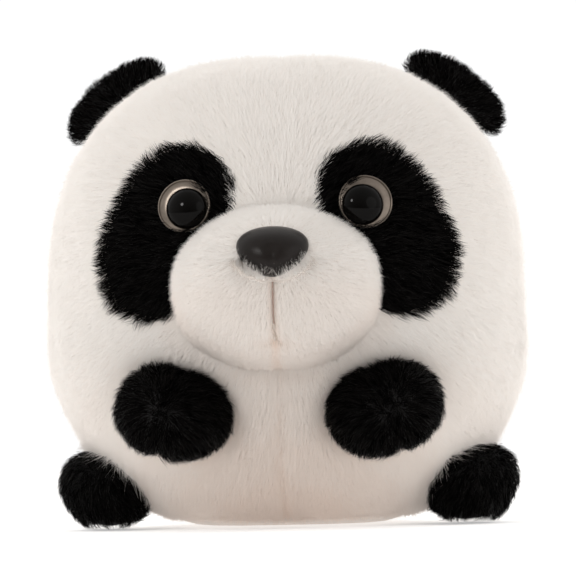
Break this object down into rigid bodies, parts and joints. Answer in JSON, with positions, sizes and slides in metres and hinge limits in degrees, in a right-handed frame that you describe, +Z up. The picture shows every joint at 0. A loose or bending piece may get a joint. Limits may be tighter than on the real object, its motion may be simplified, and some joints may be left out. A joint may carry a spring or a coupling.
{
  "type": "plush panda",
  "caption": "Ball-shaped stuffed toy panda with a domed muzzle, safety eyes and nose, and short soft ears, arms and feet that bend where they are sewn on.",
  "frame": {"origin": "middle of the flat face that the toy rests on", "axes": "+Z up, the face looks along -Y, and the toy's own left side is +X"},
  "size_m": [0.2432, 0.2625, 0.2428],
  "materials": {
    "white_plush": "short soft pile",
    "black_plush": "short soft pile",
    "stuffing": "loose polyester fibre",
    "nose_plastic": "satin, fine leather grain",
    "eye_ring": "satin pearl",
    "eye_dome": "polished",
    "washer_plastic": "plain",
    "thread": "twisted thread"
  },
  "bodies": {
    "root": {"front_panel_left": "white_plush", "front_panel_right": "white_plush", "back_panel_left": "white_plush", "back_panel_right": "white_plush", "base_panel": "white_plush", "body_stuffing": "stuffing", "eye_patch_left": "black_plush", "eye_patch_right": "black_plush", "muzzle_cover_left": "white_plush", "muzzle_cover_right": "white_plush", "muzzle_stuffing": "stuffing", "nose": "nose_plastic", "nose_washer": "washer_plastic", "mouth_stitch": "thread", "eye_ring_left": "eye_ring", "eye_dome_left": "eye_dome", "eye_washer_left": "washer_plastic", "eye_ring_right": "eye_ring", "eye_dome_right": "eye_dome", "eye_washer_right": "washer_plastic"},
    "ear_left": {"ear_back_left": "black_plush", "ear_front_left": "black_plush", "ear_stuffing_left": "stuffing"},
    "ear_right": {"ear_back_right": "black_plush", "ear_front_right": "black_plush", "ear_stuffing_right": "stuffing"},
    "arm_left": {"arm_inner_left": "black_plush", "arm_outer_left": "black_plush", "arm_stuffing_left": "stuffing"},
    "arm_right": {"arm_inner_right": "black_plush", "arm_outer_right": "black_plush", "arm_stuffing_right": "stuffing"},
    "foot_left": {"foot_sole_left": "black_plush", "foot_upper_left": "black_plush", "foot_stuffing_left": "stuffing"},
    "foot_right": {"foot_sole_right": "black_plush", "foot_upper_right": "black_plush", "foot_stuffing_right": "stuffing"}
  },
  "joints": [
    {"name": "ear_left_flop", "type": "hinge", "parent": "root", "child": "ear_left", "pos_m": [0.08703, 0.0125, 0.22114], "axis": [0.7859, 0, -0.6183], "range_deg": [-25, 30], "stiffness_Nm_per_rad": 0.02},
    {"name": "ear_right_flop", "type": "hinge", "parent": "root", "child": "ear_right", "pos_m": [-0.08703, 0.0125, 0.22114], "axis": [0.7859, 0, 0.6183], "range_deg": [-25, 30], "stiffness_Nm_per_rad": 0.02},
    {"name": "arm_left_lift", "type": "hinge", "parent": "root", "child": "arm_left", "pos_m": [0.05063, -0.10241, 0.06029], "axis": [-0.9429, -0.1308, -0.3064], "range_deg": [-20, 20], "stiffness_Nm_per_rad": 0.08},
    {"name": "arm_right_lift", "type": "hinge", "parent": "root", "child": "arm_right", "pos_m": [-0.05063, -0.10241, 0.06029], "axis": [-0.9429, 0.1308, 0.3064], "range_deg": [-20, 20], "stiffness_Nm_per_rad": 0.08},
    {"name": "foot_left_lift", "type": "hinge", "parent": "root", "child": "foot_left", "pos_m": [0.09111, -0.03681, 0.0225], "axis": [-0.3746, -0.9272, 0], "range_deg": [0, 15], "stiffness_Nm_per_rad": 0.12},
    {"name": "foot_right_lift", "type": "hinge", "parent": "root", "child": "foot_right", "pos_m": [-0.09111, -0.03681, 0.0225], "axis": [-0.3746, 0.9272, 0], "range_deg": [0, 15], "stiffness_Nm_per_rad": 0.12}
  ]
}
